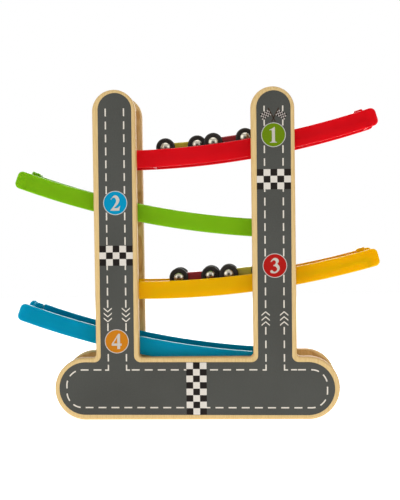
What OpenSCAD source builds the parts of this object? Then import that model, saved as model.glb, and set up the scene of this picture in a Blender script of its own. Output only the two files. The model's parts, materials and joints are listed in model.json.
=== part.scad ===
// Click clack track: two wooden panels hold four curved channel ramps one above the other.
// A car rolls down a ramp, drops through the opening at its low end and lands on the next ramp.
// Millimetres, +Z up. The origin is on the table, under the middle of the toy.

/* [Panels] */
// Height of a panel, from the table to the tops of its uprights
panel_h = 264; // [250:1:290]
// Length of the base of a panel
base_l = 228; // [212:1:260]
// Height of the base of a panel
base_h = 50; // [44:1:60]
// Distance between the centre lines of the two uprights
upright_spacing = 126; // [116:1:136]
// Width of an upright
upright_w = 34.6; // [30:0.1:40]
// Thickness of a panel
panel_t = 9; // [8:0.5:12]
// Free width between the two panels
panel_gap = 36; // [34:0.5:44]
// Radius of the inside corner between an upright and the base
inside_r = 3; // [1:0.5:6]

/* [Road print] */
// Bare wood left around the printed sheet
print_margin = 3.85; // [3:0.05:6]
// Bare wood left above the printed sheet, at the tops of the uprights
print_top_margin = 3.1; // [2:0.1:6]
// Turn of the printed sheet on its panel in degrees, clockwise
print_turn_deg = 0.25; // [-1:0.05:1]
// Radius of the printed sheet's inside corners
print_inside_r = 5.3; // [2:0.1:8]
// Thickness of the printed sheet
print_t = 0.25; // [0.2:0.05:0.5]

/* [Base beam] */
// Length of the beam that joins the two panels
beam_l = 150; // [120:1:170]
// Height of the beam
beam_h = 26; // [20:1:30]
// Height of the beam's underside above the table
beam_lift = 6; // [2:0.5:8]
// Diameter of a dowel
dowel_d = 8; // [6:0.5:10]
// Depth of a dowel's seat in a panel
dowel_seat = 6; // [4:0.5:7]

/* [Ramps] */
// Radius of a ramp's curve, along the top edges of its side walls
ramp_r = 667.6; // [600:0.1:760]
// Length of a ramp from the middle of the toy to its outer end
ramp_reach = 146.6; // [140:0.1:160]
// Length of a ramp from the middle of the toy to its low end
ramp_tail = 79; // [74:0.5:82]
// Height of the lowest ramp's side walls at the middle of the toy
lowest_level = 58.1; // [56:0.1:64]
// Height from one ramp to the next
ramp_pitch = 53.5; // [50:0.1:60]
// Slope of the red ramp at the middle of the toy, in degrees
red_tilt = 5; // [2:0.1:9]
// Slope of the green ramp at the middle of the toy, in degrees
green_tilt = 8.3; // [2:0.1:9]
// Slope of the yellow ramp at the middle of the toy, in degrees
yellow_tilt = 3.2; // [2:0.1:9]
// Slope of the blue ramp at the middle of the toy, in degrees
blue_tilt = 8.1; // [2:0.1:9]
// Height of a side wall
wall_h = 14.3; // [12:0.1:16]
// Thickness of a side wall
wall_t = 2.4; // [1.8:0.1:3]
// Radius of a side wall's end corners
end_r = 4.2; // [2:0.1:5.5]
// Depth of the channel, from the tops of the side walls to the floor
channel_depth = 6.2; // [5:0.1:7]
// Thickness of the floor
floor_t = 2.2; // [1.6:0.1:3]
// Length of the drop opening at the low end
drop_l = 35; // [30:0.5:38]
// Thickness of the ribs under the floor
rib_t = 2; // [1.5:0.1:3]
// Free width between a ramp and a panel
ramp_clear = 0.2; // [0.1:0.05:0.5]

/* [End stops] */
// Distance from the outer end of a ramp to its stop
stop_setback = 7.5; // [6:0.1:12]
// Length of the stop along the ramp
stop_l = 7.4; // [4:0.1:9]
// Width of the stop across the ramp
stop_w = 10.4; // [8:0.1:16]
// Height of the stop above the side walls
stop_rise = 2.4; // [1:0.1:4]

/* [Pegs] */
// Diameter of the pegs that hold a ramp
peg_d = 6; // [5:0.5:8]
// Depth of a peg in its panel
peg_seat = 5; // [4:0.5:7]
// Free depth behind a peg or a dowel
seat_relief = 0.4; // [0.2:0.1:0.8]
// Radial clearance of a peg or a dowel in its hole
seat_clear = 0.05; // [0.02:0.01:0.1]

/* [Cars] */
// Place of the lower car on the red ramp, from the middle of the toy
red_ramp_place = -10.6; // [-14:0.1:20]
// Place of the lower car on the yellow ramp, from the middle of the toy
yellow_ramp_place = -1.3; // [-14:0.1:20]
// Distance between the facing axles of the two cars on the red ramp
red_ramp_spacing = 13.4; // [13:0.1:20]
// Distance between the facing axles of the two cars on the yellow ramp
yellow_ramp_spacing = 15.2; // [13:0.1:20]
// Offset of a car from the middle of its channel: lower cars to the rear, upper cars to the front
car_shift = 2.7; // [2.5:0.05:2.8]
// Distance between a car's axles
wheelbase = 26; // [24:0.5:30]
// Diameter of a wheel
wheel_d = 15.4; // [14:0.1:15.6]
// Width of a wheel
wheel_w = 4.6; // [4:0.1:6]
// Radius of a wheel's shoulders
shoulder_r = 1.3; // [0.6:0.1:1.8]
// Width of a car over its wheels
track_w = 21; // [20:0.5:24]
// Length of a car's body
body_l = 36; // [32:0.5:38]
// Thickness of a car's body
body_t = 7.4; // [6:0.1:9]
// Clearance between a body and a wheel
wheel_play = 0.35; // [0.3:0.05:0.8]
// Clearance between a wheel and the floor
roll_clear = 0.2; // [0.15:0.05:0.5]
// Diameter of an axle
axle_d = 2; // [1.6:0.1:2.6]
// Radial clearance of an axle in its body
axle_clear = 0.05; // [0.02:0.01:0.1]
// Radial clearance of a wheel or a hub cap on its axle
press_clear = 0.01; // [0.01:0.01:0.03]
// Diameter of a hub cap
cap_d = 8; // [6.5:0.1:9]
// Height of a hub cap's dome
cap_h = 1.9; // [1.6:0.1:2.4]
// Depth of an axle's end in its hub cap
cap_seat = 1; // [0.8:0.1:1.2]
// Free depth between an axle's end and its hub cap
cap_relief = 0.1; // [0.05:0.05:0.2]

/* [Hidden] */
$fn = 64;
// Segments of a whole turn along the ramps' long curves
arc_fn = 1440;
// Overrun of the cuts past the faces that they open
cut = 1;
// Depth of a side wall's rounded corners inside the long curves that they carry on
end_inset = 0.02;
// Overlap of a side wall's long curves with its rounded ends
end_lap = 0.2;

half_gap = panel_gap / 2;
ramp_w = panel_gap - 2 * ramp_clear;
channel_w = ramp_w - 2 * wall_t;
wall_bottom_r = ramp_r + wall_h;
floor_r = ramp_r + channel_depth;
peg_r = ramp_r + wall_h / 2;
peg_l = ramp_clear + peg_seat;

// Angle of a length along the ramp, measured at the tops of the side walls
function arc_deg(length) = length / ramp_r * 180 / PI;
reach_deg = arc_deg(ramp_reach - end_r);
tail_deg = arc_deg(ramp_tail - end_r);
end_lap_deg = arc_deg(end_lap);
stop_out_deg = arc_deg(ramp_reach - stop_setback);
stop_in_deg = stop_out_deg - arc_deg(stop_l);
end_wall_deg = arc_deg(wall_t) - tail_deg;
drop_low_deg = end_wall_deg + arc_deg(wall_t);
drop_edge_deg = drop_low_deg + arc_deg(drop_l);
peg_degs = [-arc_deg(upright_spacing / 2), arc_deg(upright_spacing / 2)];

// A ramp is its place in the stack, counted from the lowest, its slope and the side of its low end
red = [3, red_tilt, false];
green = [2, green_tilt, true];
yellow = [1, yellow_tilt, false];
blue = [0, blue_tilt, true];
ramps = [red, green, yellow, blue];
function ramp_level(ramp) = lowest_level + ramp[0] * ramp_pitch;
function ramp_tilt(ramp) = ramp[1];
function low_end_right(ramp) = ramp[2];
function arc_centre(ramp) =
    [-ramp_r * sin(ramp_tilt(ramp)), ramp_level(ramp) + ramp_r * cos(ramp_tilt(ramp))];
function on_arc(ramp, r, deg) =
    arc_centre(ramp) + r * [sin(deg + ramp_tilt(ramp)), -cos(deg + ramp_tilt(ramp))];
function mirror_side(ramp) = low_end_right(ramp) ? -1 : 1;

dowel_z = beam_lift + beam_h / 2;
dowel_place_shares = [-0.4, -0.13, 0.13, 0.4];
dowel_xs = dowel_place_shares * beam_l;
dowel_l = panel_gap + 2 * dowel_seat;

// A car is its name, its ramp, its place along the ramp, its colour and its offset from the channel's middle
red_ramp_step = wheelbase + red_ramp_spacing;
yellow_ramp_step = wheelbase + yellow_ramp_spacing;
lime_paint = "#9c9a30";
red_paint = "#9c2028";
top_lime_car = ["top_lime_car", red, red_ramp_place, lime_paint, car_shift];
top_red_car = ["top_red_car", red, red_ramp_place + red_ramp_step, red_paint, -car_shift];
third_red_car = ["third_red_car", yellow, yellow_ramp_place, red_paint, car_shift];
third_lime_car = ["third_lime_car", yellow, yellow_ramp_place + yellow_ramp_step, lime_paint, -car_shift];
cars = [top_lime_car, top_red_car, third_red_car, third_lime_car];
// The front axle of a car is the one on the downhill side
front = ["_front", -1];
rear = ["_rear", 1];
axles = [front, rear];
axle_r = floor_r - wheel_d / 2 - roll_clear;
half_base_deg = asin(wheelbase / 2 / axle_r);
body_r = axle_r * cos(half_base_deg);
body_w = track_w - 2 * wheel_w - 2 * wheel_play;
axle_l = track_w + 2 * cap_seat;
cap_sphere_r = (cap_d * cap_d / 4 + cap_h * cap_h) / (2 * cap_h);

// Stands a flat outline up in the XZ plane, with its thickness centred on Y
module stand_up(thickness) {
    rotate([90, 0, 0])
        linear_extrude(thickness, center = true)
            children();
}

// Fills a right-angled inside corner at the origin with a concave fillet, on the +X +Y side
module fillet(r) {
    difference() {
        square(r);
        translate([r, r])
            circle(r);
    }
}

// Outline of a panel, or of the printed sheet that leaves a margin of the panel bare
module panel_outline(margin, top_margin, corner_r) {
    base_r = base_h / 2 - margin;
    half_base = base_l / 2 - margin;
    half_upright = upright_w / 2 - margin;
    base_top = base_h - margin;
    crown_z = panel_h - top_margin - half_upright;
    translate([base_r - half_base, margin])
        square([2 * (half_base - base_r), 2 * base_r]);
    for (side = [-1, 1]) {
        translate([side * (half_base - base_r), base_h / 2])
            circle(base_r);
        translate([side * upright_spacing / 2, crown_z])
            circle(half_upright);
        translate([side * upright_spacing / 2 - half_upright, base_h / 2])
            square([2 * half_upright, crown_z - base_h / 2]);
        for (flank = [-1, 1])
            translate([side * upright_spacing / 2 + flank * half_upright, base_top])
                mirror([flank < 0 ? 1 : 0, 0])
                    fillet(corner_r);
    }
}

// Blind hole in a panel's inner face, which is the plane y = 0 with the panel on its -Y side
module blind_hole(d, seat) {
    translate([0, cut, 0])
        rotate([90, 0, 0])
            cylinder(d = d + 2 * seat_clear, h = seat + seat_relief + cut);
}

// The front panel, with the holes for the ramps' pegs and for the dowels in its inner face
module panel() {
    difference() {
        translate([0, -half_gap - panel_t / 2, 0])
            stand_up(panel_t)
                panel_outline(0, 0, inside_r);
        for (ramp = ramps, deg = peg_degs) {
            spot = on_arc(ramp, peg_r, deg);
            translate([mirror_side(ramp) * spot[0], -half_gap, spot[1]])
                blind_hole(peg_d, peg_seat);
        }
        for (x = dowel_xs)
            translate([x, -half_gap, dowel_z])
                blind_hole(dowel_d, dowel_seat);
    }
}

module front_panel() {
    color("#d9bf8c")
        panel();
}

module rear_panel() {
    color("#d9bf8c")
        mirror([0, 1, 0])
            panel();
}

module road_print() {
    translate([0, -half_gap - panel_t - print_t / 2, base_h])
        rotate([0, print_turn_deg, 0])
            translate([0, 0, -base_h])
                stand_up(print_t)
                    panel_outline(print_margin, print_top_margin, print_inside_r);
}

module front_road_print() {
    color("#55564f")
        road_print();
}

module rear_road_print() {
    color("#55564f")
        rotate([0, 0, 180])
            road_print();
}

module base_beam() {
    color("#cba868")
        difference() {
            translate([-beam_l / 2, -half_gap, beam_lift])
                cube([beam_l, panel_gap, beam_h]);
            for (x = dowel_xs)
                translate([x, half_gap + cut, dowel_z])
                    rotate([90, 0, 0])
                        cylinder(d = dowel_d + 2 * seat_clear, h = panel_gap + 2 * cut);
        }
}

module base_dowels() {
    color("#c79f5e")
        for (x = dowel_xs)
            translate([x, 0, dowel_z])
                rotate([90, 0, 0])
                    cylinder(d = dowel_d, h = dowel_l, center = true);
}

// Stretch of a ring round the ramp's arc centre, between two angles from straight down
module sector(r_in, r_out, from, to) {
    reach = 2 * r_out;
    intersection() {
        difference() {
            circle(r_out, $fn = arc_fn);
            circle(r_in, $fn = arc_fn);
        }
        polygon([[0, 0], reach * [sin(from), -cos(from)], reach * [sin(to), -cos(to)]]);
    }
}

// Rounded end of a side wall
module wall_end(deg) {
    upper = -ramp_r - end_r - end_inset;
    lower = -wall_bottom_r + end_r + end_inset;
    rotate(deg) {
        for (y = [upper, lower])
            translate([0, y])
                circle(end_r);
        translate([-end_r, lower])
            square([2 * end_r, upper - lower]);
    }
}

// Outline of a side wall, about the arc centre
module wall_outline() {
    sector(ramp_r, wall_bottom_r, -tail_deg - end_lap_deg, reach_deg + end_lap_deg);
    wall_end(reach_deg);
    wall_end(-tail_deg);
}

// Outline of all that is open between the side walls: both ends, the channel and the hollow under its floor
module hollow_outline(has_drop) {
    rib_deg = arc_deg(rib_t);
    past_deg = arc_deg(2 * end_r);
    hollow_from = has_drop ? drop_edge_deg + rib_deg : drop_low_deg;
    sector(ramp_r - cut, floor_r, drop_low_deg, stop_out_deg + rib_deg);
    sector(floor_r + floor_t, wall_bottom_r + cut, hollow_from, stop_out_deg - rib_deg);
    sector(ramp_r - 2 * cut, wall_bottom_r + 2 * cut, stop_out_deg, reach_deg + past_deg);
    sector(ramp_r - 2 * cut, wall_bottom_r + 2 * cut, -tail_deg - past_deg, end_wall_deg);
    if (has_drop)
        sector(ramp_r - 2 * cut, wall_bottom_r + 2 * cut, drop_low_deg, drop_edge_deg);
}

// A ramp about its arc centre: two side walls with a floor, ribs and a stop between them
module ramp_moulding(has_drop) {
    difference() {
        stand_up(ramp_w)
            wall_outline();
        stand_up(channel_w)
            hollow_outline(has_drop);
    }
    stand_up(stop_w)
        sector(ramp_r - stop_rise, floor_r + floor_t / 2, stop_in_deg, stop_out_deg);
    for (deg = peg_degs, side = [-1, 1])
        rotate([0, -deg, 0])
            translate([0, side * (ramp_w + peg_l - wall_t / 2) / 2, -peg_r])
                rotate([90, 0, 0])
                    cylinder(d = peg_d, h = peg_l + wall_t / 2, center = true);
}

// Moves what is drawn about the arc centre to its place on a ramp
module on_ramp(ramp, deg = 0) {
    centre = arc_centre(ramp);
    mirror([low_end_right(ramp) ? 1 : 0, 0, 0])
        translate([centre[0], 0, centre[1]])
            rotate([0, -deg - ramp_tilt(ramp), 0])
                children();
}

module red_ramp() {
    color("#d31a22")
        on_ramp(red)
            ramp_moulding(true);
}

module green_ramp() {
    color("#78ac1e")
        on_ramp(green)
            ramp_moulding(true);
}

module yellow_ramp() {
    color("#e3a800")
        on_ramp(yellow)
            ramp_moulding(true);
}

module blue_ramp() {
    color("#008bad")
        on_ramp(blue)
            ramp_moulding(false);
}

// Moves what is drawn about a car's centre, with its axles in the plane z = 0, to the car's place
module at_car(car) {
    on_ramp(car[1], arc_deg(car[2]))
        translate([0, car[4], -body_r])
            children();
}

// Moves what is drawn about an axle's middle to that axle of a car
module at_axle(car, axle) {
    at_car(car)
        translate([axle[1] * wheelbase / 2, 0, 0])
            children();
}

// Flat bar with round ends, drilled across for the two axles
module car_body(car) {
    color(car[3])
        at_car(car)
            difference() {
                stand_up(body_w) {
                    square([body_l - body_t, body_t], center = true);
                    for (side = [-1, 1])
                        translate([side * (body_l - body_t) / 2, 0])
                            circle(d = body_t);
                }
                for (side = [-1, 1])
                    translate([side * wheelbase / 2, 0, 0])
                        rotate([90, 0, 0])
                            cylinder(d = axle_d + 2 * axle_clear, h = body_w + 2 * cut, center = true);
            }
}

module car_axle(car, axle) {
    color("#c8c8c4")
        at_axle(car, axle)
            rotate([90, 0, 0])
                cylinder(d = axle_d, h = axle_l, center = true);
}

// Half section of a wheel, from its bore to its tread, with rounded shoulders
module wheel_section() {
    bore_r = axle_d / 2 + press_clear;
    rim_r = wheel_d / 2 - shoulder_r;
    translate([bore_r, 0])
        square([rim_r - bore_r, wheel_w]);
    translate([bore_r, shoulder_r])
        square([wheel_d / 2 - bore_r, wheel_w - 2 * shoulder_r]);
    for (y = [shoulder_r, wheel_w - shoulder_r])
        translate([rim_r, y])
            circle(shoulder_r);
}

module car_wheels(car, axle) {
    color("#302a26")
        at_axle(car, axle)
            for (turn = [90, -90])
                rotate([turn, 0, 0])
                    translate([0, 0, track_w / 2 - wheel_w])
                        rotate_extrude()
                            wheel_section();
}

// Domed cap pressed on the end of an axle, against the wheel's outer face
module hub_cap() {
    difference() {
        rotate_extrude()
            intersection() {
                translate([0, cap_h - cap_sphere_r])
                    circle(cap_sphere_r);
                square([cap_d / 2, cap_h]);
            }
        translate([0, 0, -cut])
            cylinder(d = axle_d + 2 * press_clear, h = cut + cap_seat + cap_relief);
    }
}

module car_hub_caps(car, axle) {
    color("#d2d2ce")
        at_axle(car, axle)
            for (turn = [90, -90])
                rotate([turn, 0, 0])
                    translate([0, 0, track_w / 2])
                        hub_cap();
}

front_panel();
rear_panel();
front_road_print();
rear_road_print();
red_ramp();
green_ramp();
yellow_ramp();
blue_ramp();
base_beam();
base_dowels();
for (car = cars) {
    car_body(car);
    for (axle = axles) {
        car_axle(car, axle);
        car_wheels(car, axle);
        car_hub_caps(car, axle);
    }
}
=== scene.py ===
# %% [markdown]
# A click clack track toy
#
# Two wooden panels, printed as a road, hold four curved plastic ramps one above the other, and small
# flip-over cars roll down them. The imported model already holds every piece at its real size. This lesson
# dresses it: each step models one kind of piece in millimetres, gives it its finish, and lets it ride on
# the body that carries it. Loading comes first, because every later step takes its places from the model.

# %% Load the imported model
import json
import math

import bmesh
import bpy
from mathutils import Matrix, Vector


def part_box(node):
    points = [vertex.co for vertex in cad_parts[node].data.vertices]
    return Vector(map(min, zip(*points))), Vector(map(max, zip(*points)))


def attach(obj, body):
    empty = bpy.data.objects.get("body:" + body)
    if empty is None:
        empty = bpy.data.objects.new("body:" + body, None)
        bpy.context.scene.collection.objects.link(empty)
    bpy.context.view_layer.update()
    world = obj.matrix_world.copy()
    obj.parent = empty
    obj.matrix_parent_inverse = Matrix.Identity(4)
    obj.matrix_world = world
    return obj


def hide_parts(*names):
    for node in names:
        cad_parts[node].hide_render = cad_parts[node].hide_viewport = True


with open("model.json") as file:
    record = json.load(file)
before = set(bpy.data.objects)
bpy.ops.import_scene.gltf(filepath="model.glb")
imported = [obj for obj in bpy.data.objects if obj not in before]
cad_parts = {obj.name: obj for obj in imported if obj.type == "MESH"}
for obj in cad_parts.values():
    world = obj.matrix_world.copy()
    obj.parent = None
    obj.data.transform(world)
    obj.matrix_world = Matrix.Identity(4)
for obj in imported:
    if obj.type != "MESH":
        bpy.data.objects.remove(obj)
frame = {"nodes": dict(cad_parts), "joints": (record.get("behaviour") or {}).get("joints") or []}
scene = bpy.context.scene
MM = 0.001
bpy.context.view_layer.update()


def node_box(node):
    """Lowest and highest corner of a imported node, in millimetres."""
    low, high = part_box(node)
    return low / MM, high / MM


# %% [markdown]
# The camera
#
# The toy was photographed from the front with a long lens, a little to the right of its middle and from
# above half its height. A camera could be aimed by eye, but its place, turn and lens were worked out from
# the panel's outline, so that each piece falls on the same spot of the picture as on the real toy.

# %% Camera
CAMERA_PLACE = Vector((47.77, -789.03, 158.82))
CAMERA_YAW = 3.253
CAMERA_DROP = 1.744
CAMERA_ROLL = -0.810
SENSOR_MM = 36.0
LENS_MM = 69.247

camera_data = bpy.data.cameras.new("photo_camera")
camera_data.sensor_width = SENSOR_MM
camera_data.lens = LENS_MM
camera = bpy.data.objects.new("photo_camera", camera_data)
camera.matrix_world = (
    Matrix.Translation(CAMERA_PLACE * MM)
    @ Matrix.Rotation(math.radians(CAMERA_YAW), 4, "Z")
    @ Matrix.Rotation(math.radians(90 - CAMERA_DROP), 4, "X")
    @ Matrix.Rotation(math.radians(CAMERA_ROLL), 4, "Z")
)
scene.collection.objects.link(camera)
scene.camera = camera
print("camera distance, mm:", round(CAMERA_PLACE.length))


# %% [markdown]
# Colours and nodes
#
# Colours are read off as sRGB, the way a paint program shows them, while a shader mixes light and needs
# linear values. One function turns one into the other. A second one adds a node with its settings and
# links, so that a material reads as a short list of steps. Patterns read Object coordinates, which are
# metres here, and a Mapping node turns them to millimetres.

# %% Helpers for materials
def linear(hex_colour):
    """The linear colour of an sRGB hex value."""
    # The curve of sRGB is a straight foot and then a power
    shares = [int(hex_colour[place:place + 2], 16) / 255 for place in (1, 3, 5)]
    levels = [share / 12.92 if share <= 0.04045 else ((share + 0.055) / 1.055) ** 2.4 for share in shares]
    return (*levels, 1.0)


def add(tree, kind, inputs=None, stops=None, **settings):
    """Adds a node to a tree. An input is a value, or the node or the output that feeds it."""
    node = tree.nodes.new("ShaderNode" + kind)
    for name, value in settings.items():
        setattr(node, name, value)
    for name, value in (inputs or {}).items():
        if isinstance(value, bpy.types.Node):
            value = value.outputs[0]
        if isinstance(value, bpy.types.NodeSocket):
            tree.links.new(value, node.inputs[name])
        else:
            node.inputs[name].default_value = value
    if stops:
        marks = node.color_ramp.elements
        marks.remove(marks[1])
        for mark, (share, hex_colour) in enumerate(stops):
            stop = marks.new(share) if mark else marks[0]
            stop.position = share
            stop.color = linear(hex_colour)
    return node


def start_material(name):
    """A new material, its empty tree and the place on the toy in millimetres that its patterns read."""
    material = bpy.data.materials.new(name)
    material.use_nodes = True
    tree = material.node_tree
    tree.nodes.clear()
    metres = add(tree, "TexCoord").outputs["Object"]
    return material, tree, add(tree, "Mapping", {"Vector": metres, "Scale": (1 / MM, 1 / MM, 1 / MM)})


def close_material(tree, inputs):
    """Ends a tree with a surface that has these inputs."""
    surface = add(tree, "BsdfPrincipled", inputs)
    add(tree, "OutputMaterial", {"Surface": surface})


print("white is", [round(level, 2) for level in linear("#ffffff")])

# %% [markdown]
# Light, background and floor
#
# The toy stands in soft even light before white. The background could be a lit wall, but then it would
# throw its light on the toy. Here the world is white only for what the camera and the reflections see,
# and a plain grey for the light that it sheds. Large lamps do the rest, and a low one, which no gloss
# shows, lifts the undersides as a white table does. Behind the camera hangs a dark card, as in a studio:
# only reflections see it, and it keeps the gloss of the front faces from washing out their colour. The
# floor is a pale disc that takes the toy's shadow, glows a little and fades out towards its rim.

# %% World
scene.view_settings.view_transform = "Standard"
AMBIENT_SHARE = 0.35
world = bpy.data.worlds.new("studio")
scene.world = world
world.use_nodes = True
world.node_tree.nodes.clear()
rays = add(world.node_tree, "LightPath").outputs
mirrored = add(
    world.node_tree, "Math",
    {0: rays["Is Glossy Ray"], 1: rays["Is Transmission Ray"]}, operation="MAXIMUM",
)
seen = add(world.node_tree, "Math", {0: rays["Is Camera Ray"], 1: mirrored}, operation="MAXIMUM")
shed = add(world.node_tree, "Background", {"Color": linear("#ffffff"), "Strength": AMBIENT_SHARE})
shown = add(world.node_tree, "Background", {"Color": linear("#ffffff"), "Strength": 1.0})
mixed = add(world.node_tree, "MixShader", {0: seen, 1: shed, 2: shown})
add(world.node_tree, "OutputWorld", {"Surface": mixed})
print("the world sheds", AMBIENT_SHARE, "of white")

# %% Lamps
TOY_MIDDLE = Vector((0, 0, 130))
# A lamp is its place and its side in millimetres, and its power in watts
LAMPS = {
    "left_softbox": ((-1150, -650, 600), 1000, 5.1),
    "right_softbox": ((1150, -650, 600), 1000, 4.0),
    "top_softbox": ((0, 100, 1300), 900, 4.6),
    "lit_backdrop": ((0, 1100, 420), 1100, 9.0),
    "low_fill": ((0, -900, 10), 500, 1.2),
}


def softbox(name, place, side, watts):
    """A square lamp at a place, aimed at the toy's middle."""
    lamp_data = bpy.data.lights.new(name, "AREA")
    lamp_data.size = side * MM
    lamp_data.energy = watts
    lamp = bpy.data.objects.new(name, lamp_data)
    aim = (TOY_MIDDLE - Vector(place)).to_track_quat("-Z", "Y")
    lamp.matrix_world = Matrix.Translation(Vector(place) * MM) @ aim.to_matrix().to_4x4()
    scene.collection.objects.link(lamp)
    lamp.visible_camera = False
    return lamp


lamps = {name: softbox(name, *settings) for name, settings in LAMPS.items()}
lamps["low_fill"].visible_glossy = False
print("lamps:", list(lamps))

# %% Dark card
CARD_Y = -1500
CARD_HALF_W = 800
CARD_LOW_Z = -600
CARD_TOP_Z = 800
VELVET_PILE_MM = 2
# A grid's size is half its side, so this one is a square of 1
UNIT_HALF = 0.5


def black_velvet():
    """Black velvet: nothing but a deep grey, so that what mirrors it looks deep too."""
    material, tree, place = start_material("black_velvet")
    # A short pile takes the evenness off the black
    pile = add(tree, "TexNoise", {"Vector": place, "Scale": 1 / VELVET_PILE_MM})
    colour = add(tree, "ValToRGB", {"Fac": pile}, stops=[(0.3, "#0c0c0c"), (0.7, "#141414")])
    close_material(tree, {"Base Color": colour, "Roughness": 0.9})
    return material


card_bm = bmesh.new()
card_stretch = Matrix.Diagonal((2 * CARD_HALF_W * MM, (CARD_TOP_Z - CARD_LOW_Z) * MM, 1, 1))
card_middle = Matrix.Translation((0, CARD_Y * MM, (CARD_LOW_Z + CARD_TOP_Z) / 2 * MM))
card_turn = Matrix.Rotation(math.radians(90), 4, "X")
bmesh.ops.create_grid(
    card_bm, x_segments=1, y_segments=1, size=UNIT_HALF,
    matrix=card_middle @ card_turn @ card_stretch,
)
card_mesh = bpy.data.meshes.new("dark_card")
card_bm.to_mesh(card_mesh)
card_bm.free()
card_mesh.materials.append(black_velvet())
dark_card = bpy.data.objects.new("dark_card", card_mesh)
scene.collection.objects.link(dark_card)
dark_card.visible_camera = False
dark_card.visible_diffuse = False
dark_card.visible_shadow = False
print("dark card, mm:", 2 * CARD_HALF_W, "by", CARD_TOP_Z - CARD_LOW_Z)

# %% Floor
FLOOR_R = 1300
FLOOR_CLEAR_R = 500
FLOOR_DROP = 0.2
FLOOR_SEGMENTS = 96
FLOOR_GLOW_SHARE = 0.8


def pale_floor():
    """Matt white card, lit from below: takes the shadow, lifts the undersides and fades out to its rim."""
    material, tree, place = start_material("matt_white_card")
    far = add(tree, "VectorMath", {0: place}, operation="LENGTH")
    fade = add(
        tree, "MapRange",
        {"Value": far.outputs["Value"], "From Min": FLOOR_CLEAR_R, "From Max": FLOOR_R},
    )
    card = add(tree, "BsdfDiffuse", {"Color": linear("#f4f4f2")})
    glow = add(tree, "Emission", {"Color": linear("#ffffff"), "Strength": FLOOR_GLOW_SHARE})
    lifted = add(tree, "AddShader", {0: card, 1: glow})
    clear = add(tree, "BsdfTransparent")
    surface = add(tree, "MixShader", {0: fade, 1: lifted, 2: clear})
    add(tree, "OutputMaterial", {"Surface": surface})
    return material


floor_bm = bmesh.new()
bmesh.ops.create_circle(floor_bm, cap_ends=True, radius=FLOOR_R * MM, segments=FLOOR_SEGMENTS)
bmesh.ops.translate(floor_bm, verts=floor_bm.verts, vec=(0, 0, -FLOOR_DROP * MM))
floor_mesh = bpy.data.meshes.new("floor")
floor_bm.to_mesh(floor_mesh)
floor_bm.free()
floor_mesh.materials.append(pale_floor())
floor = bpy.data.objects.new("floor", floor_mesh)
scene.collection.objects.link(floor)
floor.visible_glossy = False
print("floor radius, mm:", FLOOR_R)

# %% [markdown]
# A pen, a slab and a piece
#
# Panels, ramps and cars are all flat outlines of straight lines and arcs, cut out of sheet and rounded at
# the edges. So the first tool is a pen: a vertex that is extruded to draw a line, and spun about a centre
# to draw an arc. The outline is filled, pushed back to a slab and its edges are bevelled, as a maker saws
# out a board and runs a router round it. All of it is drawn in millimetres, and make_piece scales it.

# %% Pen and slab
ARC_STEP_DEG = 4
MERGE_MM = 0.001


def line_to(bm, pen, x, z):
    """Draws a straight edge from the pen and returns the pen at its end."""
    tip = bmesh.ops.extrude_vert_indiv(bm, verts=[pen])["verts"][0]
    tip.co = (x, pen.co.y, z)
    return tip


def arc_about(bm, pen, x, z, degrees, step_deg=ARC_STEP_DEG):
    """Draws an arc about a centre, counter-clockwise as seen from the front, and returns the pen."""
    swept = bmesh.ops.spin(
        bm, geom=[pen], cent=(x, pen.co.y, z), axis=(0, -1, 0),
        angle=math.radians(degrees), steps=max(2, round(abs(degrees) / step_deg)),
    )
    return next(part for part in swept["geom_last"] if isinstance(part, bmesh.types.BMVert))


def fill_outline(bm):
    """Closes the pen's outline and fills it as one flat face."""
    bmesh.ops.remove_doubles(bm, verts=bm.verts[:], dist=MERGE_MM)
    return bmesh.ops.contextual_create(bm, geom=bm.edges[:])["faces"]


def thicken(bm, depth):
    """Pushes flat faces back along Y, so that they become slabs."""
    pushed = bmesh.ops.extrude_face_region(bm, geom=bm.faces[:])["geom"]
    back = [part for part in pushed if isinstance(part, bmesh.types.BMVert)]
    bmesh.ops.translate(bm, verts=back, vec=(0, depth, 0))
    bmesh.ops.recalc_face_normals(bm, faces=bm.faces[:])


def rim_edges(bm):
    """The edges round a slab's front and back."""
    return [edge for edge in bm.edges if abs(edge.verts[0].co.y - edge.verts[1].co.y) < MERGE_MM]


def round_edges(bm, edges, radius, segments=4):
    """Rounds edges over, as a router or a mould does."""
    bmesh.ops.bevel(
        bm, geom=edges, offset=radius, offset_type="OFFSET", segments=segments,
        profile=0.5, affect="EDGES", material=-1, clamp_overlap=True,
    )


def take_in(bm, other):
    """Moves the whole of another bmesh into this one."""
    carrier = bpy.data.meshes.new("carrier")
    other.to_mesh(carrier)
    other.free()
    bm.from_mesh(carrier)
    bpy.data.meshes.remove(carrier)


print("a full turn has", round(360 / ARC_STEP_DEG), "steps")

# %% Piece
SHARP_DEG = 40


def make_piece(name, bm, material, body, replaces=None):
    """Turns a bmesh in millimetres into a piece of the toy that rides on a body."""
    bmesh.ops.scale(bm, verts=bm.verts, vec=(MM, MM, MM))
    bmesh.ops.recalc_face_normals(bm, faces=bm.faces[:])
    for face in bm.faces:
        face.smooth = True
    for edge in bm.edges:
        edge.smooth = edge.calc_face_angle(0) < math.radians(SHARP_DEG)
    mesh = bpy.data.meshes.new(name)
    bm.to_mesh(mesh)
    bm.free()
    mesh.materials.append(material)
    piece = bpy.data.objects.new(name, mesh)
    scene.collection.objects.link(piece)
    even = piece.modifiers.new("even_shading", "WEIGHTED_NORMAL")
    even.keep_sharp = True
    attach(piece, body)
    if replaces:
        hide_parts(replaces)
    print(name, "has", len(mesh.polygons), "faces")
    return piece


print("edges sharper than", SHARP_DEG, "degrees stay sharp")

# %% [markdown]
# The panels
#
# Each panel is sawn from plywood: a long base with round ends, and two uprights with round tops. Its edges
# are routed round, so the plies come out as thin lines that run along every edge. The outline is drawn for
# one half and mirrored, because the panel is the same on both sides. The plywood is one material: the
# plies are bands across the thickness, which is Y, and the face veneer has its grain up the uprights.

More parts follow.
